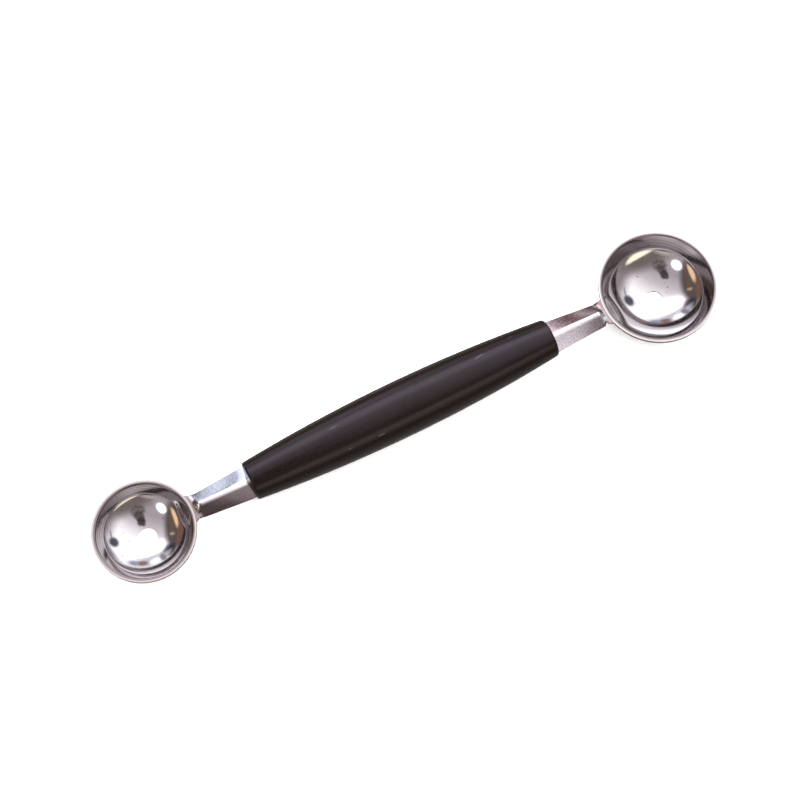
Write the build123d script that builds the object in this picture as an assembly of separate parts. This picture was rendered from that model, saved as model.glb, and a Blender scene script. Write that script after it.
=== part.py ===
from build123d import *
import os
from math import asin, atan, atan2, cos, degrees, isclose, radians, sin, sqrt, tan

# Double-ended melon baller: two stamped sheet scoops whose tangs are moulded into one handle.
# Frame: X runs along the handle, large scoop at +X, bowls opening towards +Z. The tool lies on
# its two bowl bottoms at z = 0, and the origin is the middle of its box, at the bottom.

# Handle
handle_length = 82.7
handle_diameter = 14.0
handle_end_diameter = 9.8
handle_end_round = 0.6

# Sheet that both scoops are stamped from
sheet = 0.8
hole_diameter = 4.8
lip_width = 0.9
lip_inner_round = 0.4
lip_outer_round = 0.3
collar_round = 3.0

# Large scoop
large_rim_diameter = 30.0
large_collar_width = 2.1
large_collar_depth = 3.9
large_depth = 9.0
large_rim_height = -0.3
large_shank_length = 15.7

# Small scoop
small_rim_diameter = 25.5
small_collar_width = 1.85
small_collar_depth = 2.65
small_depth = 6.4
small_rim_height = 1.0
small_shank_length = 15.2

# Flat that the shank's root leaves in the bowl's wall, with a bend over it into the root
root_flat_slope = 60.0
root_flat_inset = 0.75
root_bend_slope = 34.0
root_bend_drop = 0.35
root_bend_round = 0.9

# Shank, folded along its middle like a low roof
shank_root_width = 6.5
shank_end_width = 8.8
root_fillet = 1.0
hip_length = 1.0
root_edge_drop = 0.9
root_fold_rise = 2.3
end_edge_drop = 0.3
end_fold_rise = 1.3
crest_width = 1.6

# Tang inside the handle
tang_width = 5.4
tang_length = 16.0
tang_tip_width = 3.0
tang_taper_length = 2.5
tang_hole_diameter = 2.4
tang_hole_setback = 6.0

# One overrun serves every cut
overrun = 5.0


def corner(face, x, y):
    """The corner of a flat face that lies at x, y."""
    return face.vertices().sort_by_distance((x, y, 0))[0]


def form(rim, collar_width, collar_depth, depth, thickness):
    """The hollow of a scoop, or with a thickness, the body that the hollow is cut from."""
    lip = rim - lip_width
    foot = lip - collar_width
    ball_depth = depth - collar_depth
    ball_radius = (foot**2 + ball_depth**2) / (2 * ball_depth)
    half_angle = asin(foot / ball_radius) / 2
    middle = (ball_radius * sin(half_angle), ball_radius - depth - ball_radius * cos(half_angle))

    # Half section: a steep collar under the lip, then a part of a ball
    collar_foot = (foot, -collar_depth)
    outline = Curve() + Polyline((0, -depth), (0, 0), (lip, 0), collar_foot)
    outline += ThreePointArc(collar_foot, middle, (0, -depth))
    half_section = make_face(outline)
    half_section = fillet(corner(half_section, *collar_foot), collar_round)

    # Side view of the space that the shank's root leaves: a gentle slope over a steep one
    gentle = tan(radians(root_bend_slope))
    steep = tan(radians(root_flat_slope))
    bend_depth = (root_flat_inset + root_bend_drop / gentle) / (1 / gentle - 1 / steep)
    bend_x = lip - root_flat_inset - bend_depth / steep
    top_x = bend_x + (rim + bend_depth) / gentle
    low_x = bend_x - (rim - bend_depth) / steep
    back_x = -rim - overrun
    bend = (bend_x, -bend_depth)
    side = Polyline((back_x, rim), (top_x, rim), bend, (low_x, -rim), (back_x, -rim), close=True)
    space = make_face(side)
    space = fillet(corner(space, *bend), root_bend_round)

    if thickness:
        half_section = offset(half_section, amount=thickness, kind=Kind.INTERSECTION)
        half_section &= Rectangle(2 * rim, 4 * rim, align=(Align.MIN, Align.CENTER))
        space = offset(space, amount=thickness, kind=Kind.INTERSECTION)
    turned = Rot(0, 0, 180) * revolve(Plane.XZ * half_section, Axis.Z)
    return turned & extrude(Plane.XZ * space, amount=2 * rim, both=True)


def fold_section(x, width, edge_height, rise):
    """Cross-section of the folded shank at x: a low roof of sheet with a rounded crest."""
    half = width / 2
    crest = crest_width / 2
    slope = atan(rise / half)
    shoulder = edge_height + (half - crest) * tan(slope)
    top = shoulder + crest * tan(slope / 2)
    under = sheet / cos(slope)
    plane = Plane(origin=(x, 0, 0), x_dir=(0, 1, 0), z_dir=(1, 0, 0))
    upper = [(-half, edge_height), (-crest, shoulder), (crest, shoulder), (half, edge_height)]
    lower = [(y, z - under) for y, z in reversed(upper)]
    sides = [
        Line(upper[0], upper[1]),
        ThreePointArc(upper[1], (0, top), upper[2]) if rise else Line(upper[1], upper[2]),
        Line(upper[2], upper[3]),
        Line(upper[3], lower[0]),
        Line(lower[0], lower[1]),
        ThreePointArc(lower[1], (0, top - under), lower[2]) if rise else Line(lower[1], lower[2]),
        Line(lower[2], lower[3]),
        Line(lower[3], upper[0]),
    ]
    return plane * Face(Wire(sides))


def scoop(rim_diameter, collar_width, collar_depth, depth, rim_height, shank_length):
    """One stamped scoop with its shank and tang towards +X and its rim's middle at the origin."""
    rim = rim_diameter / 2
    sizes = (rim, collar_width, collar_depth, depth)
    hollow = form(*sizes, 0)

    # The lip is a narrow flange, and the shank's root runs out of it between two small fillets.
    half = shank_root_width / 2
    root_x = sqrt((rim + root_fillet) ** 2 - (half + root_fillet) ** 2)
    plan = Circle(rim) + Rectangle(2 * rim, shank_root_width, align=(Align.MIN, Align.CENTER))
    inner_corners = plan.vertices().filter_by(lambda v: 0 < v.X < root_x)
    plan = fillet(inner_corners, root_fillet)
    plan &= Pos(root_x, 0) * Rectangle(4 * rim, 4 * rim, align=(Align.MAX, Align.CENTER))
    flange = extrude(plan, -sheet)

    # The shank rises from the flat root over a short hip, then runs straight to the handle.
    hip_x = root_x + hip_length
    end_x = rim + shank_length
    root = fold_section(root_x, shank_root_width, 0, 0)
    hip = fold_section(hip_x, shank_root_width, -root_edge_drop, root_fold_rise)
    end = fold_section(end_x, shank_end_width, -rim_height - end_edge_drop, end_fold_rise)
    shank = loft([root, hip], ruled=True) + loft([hip, end], ruled=True)

    # The tang keeps the fold, narrower, with a tapered tip and a hole that the handle fills.
    tang_end = end_x + tang_length
    outline = make_face(
        Polyline(
            (end_x, -tang_width / 2),
            (tang_end - tang_taper_length, -tang_width / 2),
            (tang_end, -tang_tip_width / 2),
            (tang_end, tang_tip_width / 2),
            (tang_end - tang_taper_length, tang_width / 2),
            (end_x, tang_width / 2),
            close=True,
        )
    )
    tang = extrude(end, amount=tang_length, dir=(1, 0, 0)) & extrude(outline, amount=rim, both=True)
    tang -= Pos(tang_end - tang_hole_setback, 0, 0) * Cylinder(tang_hole_diameter / 2, 2 * rim)

    # The lip takes the place of the top of the thickened form, whose sides it covers.
    below = Box(4 * rim, 4 * rim, 4 * rim, align=(Align.CENTER, Align.CENTER, Align.MAX))
    body = form(*sizes, sheet) & Pos(0, 0, -sheet / 2) * below
    body = body + flange + shank + tang
    body = body - hollow - Cylinder(hole_diameter / 2, 4 * rim)

    # The lip's edges are rounded, outside and inside.
    rounds = body.edges().filter_by(GeomType.CIRCLE)
    outer_edges = rounds.filter_by(lambda e: isclose(e.radius, rim) or isclose(e.radius, root_fillet))
    body = fillet(outer_edges, lip_outer_round)
    rounds = body.edges().filter_by(GeomType.CIRCLE)
    inner_edge = rounds.filter_by(lambda e: isclose(e.radius, rim - lip_width)).sort_by(Axis.Z)[-1]
    return fillet(inner_edge, lip_inner_round)


def barrel():
    """The handle before the tangs are moulded in: a barrel about the X axis."""
    half = handle_length / 2
    end = handle_end_diameter / 2
    outline = Curve() + Polyline((half, end), (half, 0), (-half, 0), (-half, end))
    outline += ThreePointArc((-half, end), (0, handle_diameter / 2), (half, end))
    section = make_face(outline)
    ends = [corner(section, half, end), corner(section, -half, end)]
    return revolve(fillet(ends, handle_end_round), Axis.X)


# The pieces stand in the handle's frame first, each rim at its own height beside the handle's axis.
large_x = handle_length / 2 + large_shank_length + large_rim_diameter / 2
small_x = -handle_length / 2 - small_shank_length - small_rim_diameter / 2
large_scoop = scoop(
    large_rim_diameter,
    large_collar_width,
    large_collar_depth,
    large_depth,
    large_rim_height,
    large_shank_length,
)
small_scoop = scoop(
    small_rim_diameter,
    small_collar_width,
    small_collar_depth,
    small_depth,
    small_rim_height,
    small_shank_length,
)
large_scoop = Pos(large_x, 0, large_rim_height) * Rot(0, 0, 180) * large_scoop
small_scoop = Pos(small_x, 0, small_rim_height) * small_scoop
handle = barrel() - large_scoop - small_scoop

# Both bowls' bottoms touch the table, which tips the whole tool a little towards one end.
large_bottom = large_scoop.bounding_box().min.Z
small_bottom = small_scoop.bounding_box().min.Z
lean = degrees(atan2(large_bottom - small_bottom, large_x - small_x))
pieces = {"handle": handle, "large_scoop": large_scoop, "small_scoop": small_scoop}
leaning = {name: Rot(0, lean, 0) * piece.solid() for name, piece in pieces.items()}
whole = Compound(list(leaning.values())).bounding_box()
settle = Pos(-whole.center().X, -whole.center().Y, -whole.min.Z)

os.makedirs("parts", exist_ok=True)
for name, piece in leaning.items():
    placed = settle * piece
    placed.label = name
    export_step(placed, f"parts/{name}.step")
    box = placed.bounding_box()
    print(name, round(placed.volume), "mm3, from", box.min, "to", box.max)
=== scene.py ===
import math

import bpy
from mathutils import Matrix, Vector


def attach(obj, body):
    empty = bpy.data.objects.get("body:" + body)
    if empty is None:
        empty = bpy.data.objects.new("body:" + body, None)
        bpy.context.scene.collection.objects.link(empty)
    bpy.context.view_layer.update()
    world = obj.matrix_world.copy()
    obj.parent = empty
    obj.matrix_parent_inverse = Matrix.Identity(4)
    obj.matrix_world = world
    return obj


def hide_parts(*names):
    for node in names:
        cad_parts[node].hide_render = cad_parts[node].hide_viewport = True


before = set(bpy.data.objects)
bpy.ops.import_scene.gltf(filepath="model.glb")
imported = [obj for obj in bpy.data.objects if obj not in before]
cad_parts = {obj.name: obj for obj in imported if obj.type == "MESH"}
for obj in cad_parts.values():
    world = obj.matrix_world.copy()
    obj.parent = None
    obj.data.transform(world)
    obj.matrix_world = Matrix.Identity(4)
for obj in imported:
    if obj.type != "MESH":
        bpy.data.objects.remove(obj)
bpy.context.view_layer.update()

MM = 0.001

# Sheet, hole's radius, lip and rounded foot of the bowls, in mm
SHEET = 0.8
HOLE = 2.4
LIP = 0.9
LIP_ROUND = 0.4
FOOT_ROUND = 3.0

# Flat that the shank's root leaves in the bowl's wall, in mm and degrees
FLAT_SLOPE = 60
FLAT_INSET = 0.75
BEND_SLOPE = 34
BEND_DROP = 0.35

# Folded shank at its root and at its end, in mm
ROOT_HALF = 3.25
ROOT_DROP = 0.9
ROOT_RISE = 2.3
ROOT_FILLET = 1.0
HIP_LENGTH = 1.0
END_HALF = 4.4
END_DROP = 0.3
END_RISE = 1.3

# Tang inside the handle: share of the shank's end width, length and taper in mm, share that its tip loses
TANG_SHARE = 2.7 / 4.4 + 0.01
TANG_LENGTH = 16.0
TANG_TAPER = 2.5
TIP_LOSS = 0.44

# How the finer meshes are eased, in mm: HAIR keeps them inside the solids' box, and the flat starts
# LIP_CLEAR under the rim's plane
HAIR = 0.012
BEND_SOFT = 0.5
WALL_SOFT = 0.35
LIP_CLEAR = 0.02
CREST_SOFT = 0.44
HIP_LEAD = 0.15
HIP_RUN = 1.9
EDGE_ROUND = 0.18
EDGE_ANGLE = math.radians(50)

# The tool leans on its two bowls
LEAN = math.radians(-1.58664)

# Points along a bowl's half section, and steps round the rim and along the shank and the tang
BALL_STEPS = 40
FOOT_STEPS = 10
COLLAR_POINTS = 6
LIP_STEPS = 8
LIP_POINTS = 2
COLUMNS = 36
REST = 180
ROOT_STEPS = 8
HIP_STEPS = 13
HIP_STEP = 0.12
RUN_STEPS = 24
TANG_STEPS = 8

# Steel's tones outwards, by the distance in mm from a ring that is RING_REACH inside the rim: the bowl's own
# tone, then painted shade on the collar, then painted dark and bright reflection lines on the lip
RING_REACH = 4.0
RING_SHADE_AND_REFLECTION_TONES = (
    (0.5, (0.61, 0.595, 0.60)),
    (1.5, (0.45, 0.425, 0.43)),
    (2.75, (0.44, 0.415, 0.42)),
    (3.02, (0.20, 0.175, 0.175)),
    (3.32, (0.22, 0.195, 0.19)),
    (3.55, (0.40, 0.37, 0.365)),
    (3.74, (0.68, 0.65, 0.64)),
    (3.84, (0.60, 0.56, 0.54)),
    (3.93, (0.30, 0.25, 0.23)),
)

# Rings on the collar: pitch, and where they fade in, in mm inside the rim
DRAW_PITCH = 0.42
DRAW_START = 3.4
DRAW_FULL = 2.6

# Where the shank's painted highlight and painted reflections fade in beyond the rim, and where its painted
# crest highlight gives way to each flank's painted reflection, in mm
SHANK_START = 0.2
SHANK_FULL = 1.2
NEAR_FOLD = (-0.95, -0.45)
FAR_FOLD = (0.25, 0.55)


# Node helpers


def feed(tree, socket, value):
    """Link another node's output to a socket, or set the socket's own value."""
    if isinstance(value, bpy.types.NodeSocket):
        tree.links.new(value, socket)
    elif socket.type == "RGBA":
        socket.default_value = (*value, 1)
    else:
        socket.default_value = value


def node(tree, kind, **inputs):
    """A new node with these inputs, by the names of its sockets."""
    made = tree.nodes.new(kind)
    for name, value in inputs.items():
        feed(tree, made.inputs[name], value)
    return made


def noise(tree, coords, scale, detail):
    return node(tree, "ShaderNodeTexNoise", Vector=coords, Scale=scale, Detail=detail).outputs["Fac"]


def spread(tree, source, low, high, from_min=0.0, from_max=1.0, easing="LINEAR"):
    """Map a value's range on to low..high."""
    made = tree.nodes.new("ShaderNodeMapRange")
    made.interpolation_type = easing
    tree.links.new(source, made.inputs["Value"])
    made.inputs["From Min"].default_value = from_min
    made.inputs["From Max"].default_value = from_max
    made.inputs["To Min"].default_value = low
    made.inputs["To Max"].default_value = high
    return made.outputs["Result"]


def mix(tree, factor, below, above, kind="RGBA", way="MIX"):
    made = tree.nodes.new("ShaderNodeMix")
    made.data_type = kind
    made.blend_type = way
    for name, value in (("Factor", factor), ("A", below), ("B", above)):
        feed(tree, made.inputs[name], value)
    return made.outputs["Result"]


def ramp(tree, source, stops):
    """Colours along a value, from a list of places and tones."""
    made = tree.nodes.new("ShaderNodeValToRGB")
    tree.links.new(source, made.inputs["Fac"])
    elements = made.color_ramp.elements
    for element, (place, tone) in zip(elements, (stops[0], stops[-1])):
        element.position = place
        element.color = (*tone, 1)
    for place, tone in stops[1:-1]:
        elements.new(place).color = (*tone, 1)
    return made.outputs["Color"]


def maths(tree, operation, *values):
    made = tree.nodes.new("ShaderNodeMath")
    made.operation = operation
    for socket, value in zip(made.inputs, values):
        feed(tree, socket, value)
    return made.outputs["Value"]


def vectors(tree, operation, *values):
    made = tree.nodes.new("ShaderNodeVectorMath")
    made.operation = operation
    for socket, value in zip(made.inputs, values):
        feed(tree, socket, value)
    return made.outputs["Vector" if operation == "MULTIPLY" else "Value"]


# Materials


def new_material(name):
    material = bpy.data.materials.new(name)
    material.use_nodes = True
    tree = material.node_tree
    tree.nodes.clear()
    out = tree.nodes.new("ShaderNodeOutputMaterial")
    shader = tree.nodes.new("ShaderNodeBsdfPrincipled")
    tree.links.new(shader.outputs["BSDF"], out.inputs["Surface"])
    coords = tree.nodes.new("ShaderNodeTexCoord").outputs["Object"]
    return material, tree, shader, coords


def roughen(tree, shader, height, strength):
    bump = node(tree, "ShaderNodeBump", Height=height, Strength=strength, Distance=0.0001)
    tree.links.new(bump.outputs["Normal"], shader.inputs["Normal"])


def scaled(values, share):
    return tuple(share * value for value in values)


def steel(name, centre_x, rim, near_reflection_tone, far_reflection_tone):
    """Polished in the bowl, with painted shade on the collar, painted dark and bright reflection lines on
    the lip, and on the shank a painted highlight along the crest and painted reflections on the flanks, with
    a fine grain.
    """
    material, tree, shader, coords = new_material(name)
    fine = noise(tree, coords, scale=900.0, detail=4.0)
    cloud = noise(tree, coords, scale=140.0, detail=3.0)
    grain = noise(tree, coords, scale=3200.0, detail=2.0)
    pits = noise(tree, coords, scale=1500.0, detail=1.0)

    # Distance from the bowl's axis
    flat = vectors(tree, "MULTIPLY", coords, (1, 1, 0))
    away = vectors(tree, "DISTANCE", flat, (centre_x * MM, 0, 0))

    # Tones outwards over the collar and the lip: painted shade on the collar and painted dark and bright
    # reflection lines on the lip, with a random wear tone
    outwards = spread(tree, away, 0.0, 1.0, (rim - RING_REACH) * MM, rim * MM)
    rings = ramp(tree, outwards, [(place / RING_REACH, tone) for place, tone in RING_SHADE_AND_REFLECTION_TONES])
    wear = mix(tree, cloud, (0.93, 0.92, 0.92), (1.08, 1.07, 1.08))
    ring_shade_and_wear = mix(tree, 1.0, rings, wear, way="MULTIPLY")

    # Faint rings that drawing left on the collar
    turns = maths(tree, "MULTIPLY", away, 2 * math.pi / (DRAW_PITCH * MM))
    wave = maths(tree, "SINE", maths(tree, "ADD", turns, spread(tree, cloud, -4.0, 4.0)))
    on_collar = spread(tree, away, 0.0, 1.0, (rim - DRAW_START) * MM, (rim - DRAW_FULL) * MM)
    crests = spread(tree, wave, 0.0, 1.0, -1.0, 1.0)
    lines = mix(tree, crests, (0.82, 0.81, 0.80), (1.10, 1.09, 1.09))
    drawn_and_shaded = mix(tree, on_collar, ring_shade_and_wear, lines, way="MULTIPLY")
    pitted = spread(tree, pits, 0.0, 0.75, 0.71, 0.75)
    bowl = mix(tree, pitted, drawn_and_shaded, (0.25, 0.22, 0.22))

    # The shank: a painted highlight along the crest between two flanks, each flank with its own painted
    # reflection tone, over a fine grain
    shank = spread(tree, away, 0.0, 1.0, (rim + SHANK_START) * MM, (rim + SHANK_FULL) * MM)
    speckle = spread(tree, grain, 0.0, 1.0, 0.35, 0.65)
    painted_crest_highlight = mix(tree, speckle, (0.70, 0.69, 0.71), (0.82, 0.81, 0.83))
    near_flank_reflection = mix(tree, speckle, scaled(near_reflection_tone, 0.82), scaled(near_reflection_tone, 1.18))
    far_flank_reflection = mix(tree, speckle, scaled(far_reflection_tone, 0.75), scaled(far_reflection_tone, 1.3))
    across = tree.nodes.new("ShaderNodeSeparateXYZ")
    tree.links.new(coords, across.inputs[0])
    nearer = spread(tree, across.outputs["Y"], 1.0, 0.0, *scaled(NEAR_FOLD, MM))
    farther = spread(tree, across.outputs["Y"], 0.0, 1.0, *scaled(FAR_FOLD, MM))
    shank_reflections = mix(tree, farther, mix(tree, nearer, painted_crest_highlight, near_flank_reflection), far_flank_reflection)

    shader.inputs["Metallic"].default_value = 1.0
    tree.links.new(mix(tree, shank, bowl, shank_reflections), shader.inputs["Base Color"])
    polish = spread(tree, fine, 0.05, 0.11)
    satin = spread(tree, speckle, 0.10, 0.22)
    tree.links.new(mix(tree, shank, polish, satin, kind="FLOAT"), shader.inputs["Roughness"])
    roughen(tree, shader, fine, 0.02)
    return material


def plastic(name):
    """Satin and nearly black, with rub marks and a few pale scratches, mostly along the handle."""
    material, tree, shader, coords = new_material(name)
    along = node(tree, "ShaderNodeMapping", Vector=coords, Scale=(0.12, 1.0, 1.0))
    rubs = noise(tree, along.outputs["Vector"], scale=2200.0, detail=3.0)
    cloud = noise(tree, coords, scale=90.0, detail=4.0)
    ground = mix(tree, cloud, (0.0026, 0.0014, 0.0011), (0.0046, 0.0026, 0.0021))
    slant = (0, 0, math.radians(14))
    drag = node(tree, "ShaderNodeMapping", Vector=coords, Rotation=slant, Scale=(0.16, 1.0, 1.0))
    scratches = noise(tree, drag.outputs["Vector"], scale=700.0, detail=1.0)
    marked = spread(tree, scratches, 0.0, 1.0, 0.735, 0.77)
    colour = mix(tree, marked, ground, (0.030, 0.026, 0.027))
    tree.links.new(colour, shader.inputs["Base Color"])
    shader.inputs["Specular IOR Level"].default_value = 0.33
    shader.inputs["Specular Tint"].default_value = (0.97, 0.88, 0.99, 1)
    tree.links.new(spread(tree, rubs, 0.19, 0.33), shader.inputs["Roughness"])
    roughen(tree, shader, rubs, 0.12)
    return material


def pale_floor(name):
    material, tree, shader, coords = new_material(name)
    grain = noise(tree, coords, scale=60.0, detail=5.0)
    colour = mix(tree, grain, (0.93, 0.93, 0.93), (0.96, 0.96, 0.96))
    tree.links.new(colour, shader.inputs["Base Color"])
    shader.inputs["Roughness"].default_value = 0.9
    return material


# Stamped scoops


def arc(centre, radius, start, end, steps):
    """Points on a circle in the section plane, from one angle to another."""
    points = []
    for i in range(steps + 1):
        angle = start + (end - start) * i / steps
        x = centre[0] + radius * math.cos(angle)
        points.append((x, centre[1] + radius * math.sin(angle)))
    return points


def between(a, b, count):
    """Points at even steps between two others."""
    return [tuple(Vector(a).lerp(Vector(b), i / (count + 1))) for i in range(1, count + 1)]


def section(rim, collar_width, collar_depth, depth):
    """Half section of a bowl's upper surface, from the drain hole out to the rim."""
    lip = rim - LIP
    foot = lip - collar_width
    ball_depth = depth - collar_depth
    ball = (foot ** 2 + ball_depth ** 2) / (2 * ball_depth)
    ball_z = ball - depth

    # The rounded foot of the collar touches the ball and the collar
    along = Vector((collar_width, collar_depth)).normalized()
    inward = Vector((-along.y, along.x))
    start = Vector((foot, -collar_depth)) + inward * FOOT_ROUND - Vector((0, ball_z))
    slant = start.dot(along)
    back = math.sqrt(slant * slant - start.length_squared + (ball - FOOT_ROUND) ** 2)
    centre = start + along * (-slant - back) + Vector((0, ball_z))
    touch = math.atan2(centre.y - ball_z, centre.x)
    steep = math.atan2(-inward.y, -inward.x)
    points = arc((0, ball_z), ball, -math.acos(HOLE / ball), touch, BALL_STEPS)
    points += arc(centre, FOOT_ROUND, touch, steep, FOOT_STEPS)[1:]

    # The rounded lip touches the collar and the flat top
    slope = math.atan2(collar_depth, collar_width)
    reach = LIP_ROUND * math.tan(slope / 2)
    top = Vector((lip + reach, -LIP_ROUND))
    edge = arc(top, LIP_ROUND, math.pi / 2 + slope, math.pi / 2, LIP_STEPS)
    points += between(points[-1], edge[0], COLLAR_POINTS) + edge
    points += between(points[-1], (rim, 0.0), LIP_POINTS) + [(rim, 0.0)]
    return points


def limit(value, low, high):
    return max(low, min(high, value))


def soft_min(a, b, soft):
    """The lower of two values, blended where they are less than soft apart."""
    share = limit(0.5 + 0.5 * (b - a) / soft, 0.0, 1.0)
    return b + (a - b) * share - soft * share * (1 - share)


def smooth(share):
    share = limit(share, 0.0, 1.0)
    return share * share * (3 - 2 * share)


class Scoop:
    """One scoop in mm, with its rim's middle at the origin and its shank towards +X."""

    def __init__(self, name, rim, collar_width, collar_depth, depth, rim_height, shank, place, turn):
        self.name = name
        self.rim = rim
        self.profile = section(rim - HAIR, collar_width, collar_depth, depth)
        self.rim_height = rim_height
        self.place = place
        self.turn = turn
        self.root_x = math.sqrt((rim + ROOT_FILLET) ** 2 - (ROOT_HALF + ROOT_FILLET) ** 2)
        self.hip_x = self.root_x + HIP_LENGTH
        self.end_x = rim + shank
        self.sector = math.atan2(ROOT_HALF + ROOT_FILLET, self.root_x)
        self.verts = []
        self.faces = []

    def wall_limit(self, z):
        """How far the flat that the shank's root leaves lets the wall reach towards the shank."""
        bend = self.rim - LIP + (z + BEND_DROP) / math.tan(math.radians(BEND_SLOPE))
        flat = self.rim - LIP - FLAT_INSET + z / math.tan(math.radians(FLAT_SLOPE))
        return -soft_min(-bend, -flat, BEND_SOFT)

    def along_shank(self, x):
        """Share of the way from the hip to the handle."""
        return limit((x - self.hip_x) / (self.end_x - self.hip_x), 0.0, 1.0)

    def half_width(self, x):
        return ROOT_HALF + (END_HALF - ROOT_HALF) * self.along_shank(x)

    def shank_height(self, x, y):
        """Height of the folded shank over the rim's plane."""
        way = self.along_shank(x)
        half = self.half_width(x)
        edge = -ROOT_DROP + (-self.rim_height - END_DROP + ROOT_DROP) * way
        rise = ROOT_RISE + (END_RISE - ROOT_RISE) * way
        fold = edge + (half - math.sqrt(y * y + CREST_SOFT ** 2)) * (rise / half)
        return fold * smooth((x - self.root_x + HIP_LEAD) / HIP_RUN)

    def add_row(self, row, points):
        """Add a row of points, joined by faces to the row before it."""
        new = []
        for point in points:
            new.append(len(self.verts))
            self.verts.append(point)
        for i in range(len(new) - 1):
            self.faces.append((row[i], new[i], new[i + 1], row[i + 1]))
        return new

    def add_bowl(self):
        """Add the bowl and the lip, and return the part of the rim that the shank grows out of."""
        sector = self.sector
        angles = [-sector + 2 * sector * i / COLUMNS for i in range(COLUMNS + 1)]
        angles += [sector + (2 * math.pi - 2 * sector) * i / REST for i in range(1, REST)]
        rings = []
        for radius, z in self.profile:
            ring = []
            for angle in angles:
                x = radius * math.cos(angle)
                if x > 0 and z < -LIP_CLEAR:
                    x = min(x, soft_min(x, self.wall_limit(z), WALL_SOFT))
                ring.append(len(self.verts))
                self.verts.append((x, radius * math.sin(angle), z))
            rings.append(ring)
        for inner, outer in zip(rings, rings[1:]):
            for i in range(len(angles)):
                j = (i + 1) % len(angles)
                self.faces.append((inner[i], outer[i], outer[j], inner[j]))
        return rings[-1][: COLUMNS + 1]

    def add_root(self, row, shares):
        """Widen the rim's edge into the shank's root between two fillets, in even steps of turn."""
        rim_x = [self.verts[i][0] for i in row]
        span = self.root_x - rim_x[0]
        first = math.acos(span / ROOT_FILLET)
        for step in range(1, ROOT_STEPS + 1):
            turn = first + (math.pi / 2 - first) * step / ROOT_STEPS
            way = 1 - ROOT_FILLET * math.cos(turn) / span
            edge_x = rim_x[0] + span * way
            inset = math.sqrt(max(0.0, ROOT_FILLET ** 2 - (self.root_x - edge_x) ** 2))
            half = ROOT_HALF + ROOT_FILLET - inset
            points = []
            for start_x, share in zip(rim_x, shares):
                x = start_x + (self.root_x - start_x) * way
                bow = self.rim * (math.sin(share * self.sector) - share * math.sin(self.sector))
                y = share * half + bow * (1 - way)
                points.append((x, y, self.shank_height(x, y)))
            row = self.add_row(row, points)
        return row

    def add_shank(self, row, shares):
        """Add the hip in fine steps, then the run to the handle."""
        stations = [self.root_x + HIP_STEP * step for step in range(1, HIP_STEPS + 1)]
        run_x = stations[-1]
        for step in range(1, RUN_STEPS + 1):
            stations.append(run_x + (self.end_x - run_x) * step / RUN_STEPS)
        for x in stations:
            across = [share * self.half_width(x) for share in shares]
            row = self.add_row(row, [(x, y, self.shank_height(x, y)) for y in across])
        return row

    def add_tang(self, row, shares):
        """Carry the middle of the fold on into the handle, with a tapered tip."""
        row = [i for i, share in zip(row, shares) if abs(share) <= TANG_SHARE]
        end = [self.verts[i] for i in row]
        for step in range(1, TANG_STEPS + 1):
            along = TANG_LENGTH * step / TANG_STEPS
            tapered = max(0.0, along - (TANG_LENGTH - TANG_TAPER)) / TANG_TAPER
            narrow = 1.0 - TIP_LOSS * tapered
            row = self.add_row(row, [(self.end_x + along, y * narrow, z) for x, y, z in end])

    def build(self, material):
        shares = [-1 + 2 * i / COLUMNS for i in range(COLUMNS + 1)]
        row = self.add_root(self.add_bowl(), shares)
        self.add_tang(self.add_shank(row, shares), shares)
        leaning = Matrix.Rotation(LEAN, 4, "Y") @ Matrix.Rotation(self.turn, 4, "Z")
        matrix = Matrix.Translation(Vector(self.place)) @ leaning
        placed = [tuple((matrix @ Vector(point)) * MM) for point in self.verts]
        mesh = bpy.data.meshes.new(self.name)
        mesh.from_pydata(placed, [], self.faces)
        mesh.update()
        mesh.materials.append(material)
        for polygon in mesh.polygons:
            polygon.use_smooth = True
        made = bpy.data.objects.new(self.name, mesh)
        bpy.context.scene.collection.objects.link(made)
        solid = made.modifiers.new("sheet", "SOLIDIFY")
        solid.thickness = SHEET * MM
        solid.offset = -1.0
        ease = made.modifiers.new("edges", "BEVEL")
        ease.width = EDGE_ROUND * MM
        ease.segments = 3
        ease.limit_method = "ANGLE"
        ease.angle_limit = EDGE_ANGLE
        ease.harden_normals = True
        return made


large = Scoop(
    "stamped_large_scoop",
    rim=15.0,
    collar_width=2.1,
    collar_depth=3.9,
    depth=9.0,
    rim_height=-0.3,
    shank=15.7,
    place=(69.53026, 0, 9.69710),
    turn=math.pi,
)
small = Scoop(
    "stamped_small_scoop",
    rim=12.75,
    collar_width=1.85,
    collar_depth=2.65,
    depth=6.4,
    rim_height=1.0,
    shank=15.2,
    place=(-71.80154, 0, 7.08283),
    turn=0.0,
)
# Each scoop's tones for the painted reflections on the shank's near and far flanks
for scoop, replaced, near_reflection_tone, far_reflection_tone in (
    (large, "large_scoop", (0.53, 0.50, 0.515), (0.31, 0.24, 0.245)),
    (small, "small_scoop", (0.23, 0.19, 0.19), (0.36, 0.38, 0.44)),
):
    sheet_steel = steel(replaced + "_steel", scoop.place[0], scoop.rim, near_reflection_tone, far_reflection_tone)
    piece = scoop.build(sheet_steel)
    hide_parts(replaced)
    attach(piece, "root")

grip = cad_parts["handle"]
grip.data.materials.clear()
grip.data.materials.append(plastic("handle_plastic_finish"))
for polygon in grip.data.polygons:
    polygon.material_index = 0


# Floor

bpy.ops.mesh.primitive_plane_add(size=6.0, location=(0, 0, 0))
floor = bpy.context.object
floor.name = "floor"
floor.data.materials.append(pale_floor("floor_paper"))
floor.visible_glossy = False


# Studio that the steel reflects

world = bpy.data.worlds.new("studio")
bpy.context.scene.world = world
world.use_nodes = True
sky = world.node_tree
sky.nodes.clear()
ray = sky.nodes.new("ShaderNodeTexCoord").outputs["Generated"]


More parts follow.
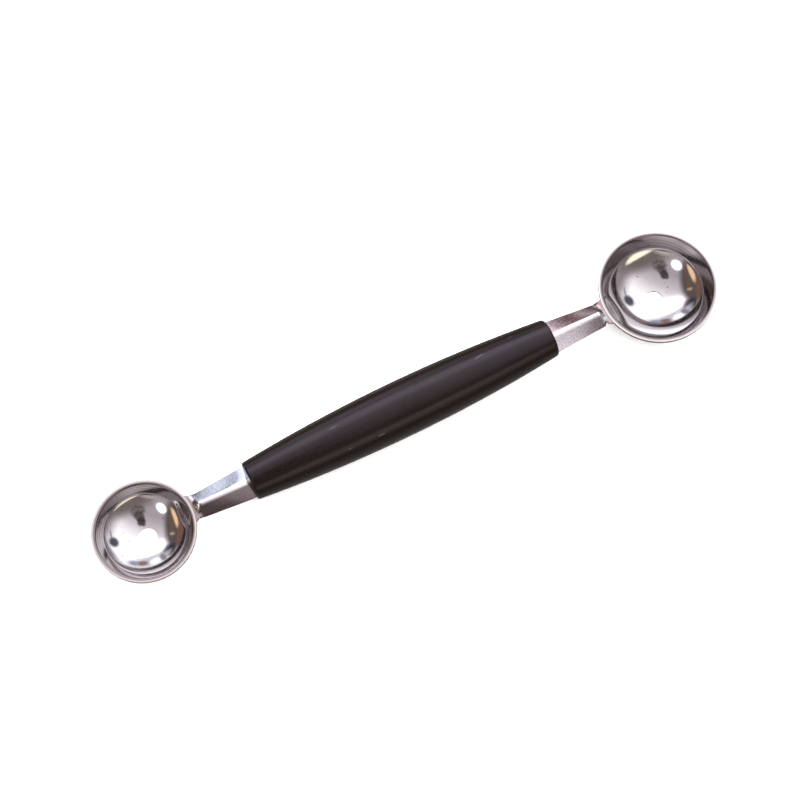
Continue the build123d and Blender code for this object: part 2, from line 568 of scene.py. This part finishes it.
def heading(azimuth, tilt):
    """Unit vector at an azimuth round Z from +X, and a tilt from straight up, in degrees."""
    turn = math.radians(azimuth)
    tip = math.radians(tilt)
    return Vector((math.sin(tip) * math.cos(turn), math.sin(tip) * math.sin(turn), math.cos(tip)))


def towards(vector):
    return vectors(sky, "DOT_PRODUCT", ray, vector)


def patch(below, azimuth, tilt, wide, high, colour, soft):
    """An oval area of the studio with soft edges: half width and half height in degrees."""
    centre = heading(azimuth, tilt)
    side = Vector((0, 0, 1)).cross(centre).normalized()
    rise = centre.cross(side)
    x = towards(side / math.tan(math.radians(wide)))
    y = towards(rise / math.tan(math.radians(high)))
    size = vectors(sky, "LENGTH", node(sky, "ShaderNodeCombineXYZ", X=x, Y=y).outputs["Vector"])
    facing = maths(sky, "MAXIMUM", towards(centre), 0.001)
    distance = maths(sky, "DIVIDE", size, facing)
    inside = spread(sky, distance, 0.0, 1.0, 1 + soft, 1 - soft, "SMOOTHSTEP")
    return mix(sky, inside, below, colour)


# The studio is bright towards this azimuth and falls off towards the other side
BRIGHT_SIDE = 40
FALL_OFF = (
    (0.25, (0.60, 0.54, 0.58)),
    (0.44, (0.95, 0.87, 0.93)),
    (0.56, (1.40, 1.34, 1.40)),
    (0.68, (1.75, 1.75, 1.80)),
)

# Each area lies over those before it: azimuth, tilt, half width, half height, colour, softness
AREAS = (
    # A broad light, and two dim sides
    (75, 42, 34, 17, (3.2, 3.1, 3.5), 0.5),
    (325, 78, 34, 26, (0.44, 0.38, 0.41), 0.6),
    (270, 62, 44, 25, (0.25, 0.21, 0.20), 0.55),
    # Pale, dark and yellow stripes low on the near side
    (232, 68, 18, 9, (0.75, 0.64, 0.61), 0.4),
    (236, 73, 15, 4.5, (0.10, 0.08, 0.08), 0.5),
    (272, 78, 22, 8, (1.35, 1.20, 0.88), 0.35),
    (279, 66, 24, 5.5, (1.75, 1.66, 1.32), 0.25),
    # A dark brown side with an orange light and a dark form beside it
    (155, 70, 36, 29, (0.15, 0.125, 0.125), 0.28),
    (158, 56, 22, 5, (0.20, 0.145, 0.095), 0.6),
    (148, 74, 24, 7, (0.27, 0.15, 0.11), 0.5),
    (168, 66, 15, 4.2, (1.35, 0.92, 0.60), 0.35),
    (141, 57, 2.2, 5, (0.65, 0.52, 0.40), 0.6),
    (113, 67, 11, 12, (0.055, 0.04, 0.05), 0.35),
    # A grey band on the far side with white, brown and blue spots
    (80, 66, 30, 10, (0.92, 0.92, 1.02), 0.4),
    (84, 55.5, 26, 1.6, (0.80, 0.80, 0.86), 0.6),
    (88, 68, 8, 6.5, (1.90, 1.92, 2.0), 0.4),
    (100, 69, 4, 10, (0.42, 0.37, 0.46), 0.5),
    (10, 76, 26, 8, (0.42, 0.38, 0.42), 0.5),
    (69, 67, 7.5, 5.5, (0.40, 0.26, 0.24), 0.5),
    (56, 68, 6, 5, (0.46, 0.52, 0.66), 0.6),
    (50, 84, 36, 7, (0.55, 0.50, 0.54), 0.6),
    # A dark spot with a thin line, and a small oval light
    (5, 57, 8.5, 9, (0.13, 0.125, 0.17), 0.35),
    (350, 58, 7, 1.3, (0.25, 0.25, 0.33), 0.6),
    (199, 52.5, 9.5, 7.5, (3.0, 3.0, 3.05), 0.3),
)
bright = spread(sky, towards(heading(BRIGHT_SIDE, 90)), 0.0, 1.0, -1.0, 1.0)
room = ramp(sky, bright, FALL_OFF)
for area in AREAS:
    room = patch(room, *area)

# A dark rim at the horizon, the table under it, and one more warm light over both
height = towards(Vector((0, 0, 1)))
room = mix(sky, spread(sky, height, 1.0, 0.0, 0.02, 0.20), room, (0.17, 0.115, 0.08))
room = mix(sky, spread(sky, height, 1.0, 0.0, -0.5, -0.15), room, (0.44, 0.41, 0.39))
room = patch(room, 270, 82, 28, 4.5, (1.00, 0.84, 0.56), 0.5)

# The camera itself sees plain white behind the floor
seen = sky.nodes.new("ShaderNodeLightPath").outputs["Is Camera Ray"]
room = mix(sky, seen, room, (1.0, 1.0, 1.0))
background = node(sky, "ShaderNodeBackground", Color=room)
sky_out = sky.nodes.new("ShaderNodeOutputWorld")
sky.links.new(background.outputs["Background"], sky_out.inputs["Surface"])


# A broad fill light from above, which isn't seen in reflections
FILL_PLACE = (0.05, 0.1, 1.2)
FILL_SIZE = 2.4
FILL_RADIANCE = 4.5
light = bpy.data.lights.new("fill", "AREA")
light.shape = "RECTANGLE"
light.size = FILL_SIZE
light.size_y = FILL_SIZE
light.energy = FILL_RADIANCE * math.pi * FILL_SIZE * FILL_SIZE
fill = bpy.data.objects.new("fill", light)
fill.location = FILL_PLACE
fill.rotation_euler = (-Vector(FILL_PLACE)).to_track_quat("-Z", "Y").to_euler()
fill.visible_glossy = False
bpy.context.scene.collection.objects.link(fill)


# Half width of the cards that carry the dark forms over the tool, before they are scaled
CARD = 1.4


def shade(name, centre, half_size, turn, dark, pale):
    """An oval dark form with soft edges, seen only in reflections."""
    mesh = bpy.data.meshes.new(name)
    corners = [(-CARD, -CARD, 0), (CARD, -CARD, 0), (CARD, CARD, 0), (-CARD, CARD, 0)]
    mesh.from_pydata(corners, [], [(0, 1, 2, 3)])
    material, tree, shader, coords = new_material(name)
    blots = spread(tree, noise(tree, coords, scale=2.6, detail=3.0), 0.0, 1.0, 0.38, 0.62)
    tree.links.new(mix(tree, blots, dark, pale), shader.inputs["Emission Color"])
    shader.inputs["Base Color"].default_value = (0.01, 0.008, 0.008, 1)
    shader.inputs["Emission Strength"].default_value = 1.0
    shader.inputs["Roughness"].default_value = 1.0
    ragged = spread(tree, noise(tree, coords, scale=1.7, detail=2.0), -0.3, 0.3)
    edge = maths(tree, "ADD", vectors(tree, "LENGTH", coords), ragged)
    tree.links.new(spread(tree, edge, 1.0, 0.0, 0.75, 1.1), shader.inputs["Alpha"])
    mesh.materials.append(material)
    made = bpy.data.objects.new(name, mesh)
    made.location = centre
    made.scale = (*half_size, 1)
    made.rotation_euler = (0, 0, math.radians(turn))
    bpy.context.scene.collection.objects.link(made)
    made.visible_camera = False
    made.visible_diffuse = False
    made.visible_shadow = False


# Each form: name, middle, half size in metres, turn in degrees, and its darkest and palest tone
FORMS = (
    ("figure", (-0.135, -0.32, 0.44), (0.14, 0.13), 12, (0.08, 0.065, 0.06), (0.28, 0.24, 0.23)),
    ("arms", (-0.115, -0.20, 0.435), (0.082, 0.085), 20, (0.045, 0.035, 0.035), (0.17, 0.14, 0.135)),
    ("apparatus", (-0.108, -0.108, 0.43), (0.066, 0.066), -10, (0.018, 0.012, 0.012), (0.055, 0.045, 0.045)),
    ("hand", (-0.120, -0.060, 0.425), (0.028, 0.032), 0, (0.05, 0.04, 0.04), (0.15, 0.12, 0.12)),
)
for form in FORMS:
    shade(*form)


# Camera at the photo's angle
CAMERA_PLACE = (-0.076767, -0.13279, 0.433549)
CAMERA_LENS = 82.755
camera_data = bpy.data.cameras.new("camera")
camera_data.lens = CAMERA_LENS
camera_data.sensor_width = 36.0
camera = bpy.data.objects.new("camera", camera_data)
right = Vector((0.89322, -0.44938, 0.0146))
up = Vector((0.41809, 0.8421, 0.34068))
facing_back = Matrix((right, up, right.cross(up))).transposed().to_4x4()
camera.matrix_world = Matrix.Translation(CAMERA_PLACE) @ facing_back
bpy.context.scene.collection.objects.link(camera)
bpy.context.scene.camera = camera

bpy.context.scene.view_settings.view_transform = "Standard"
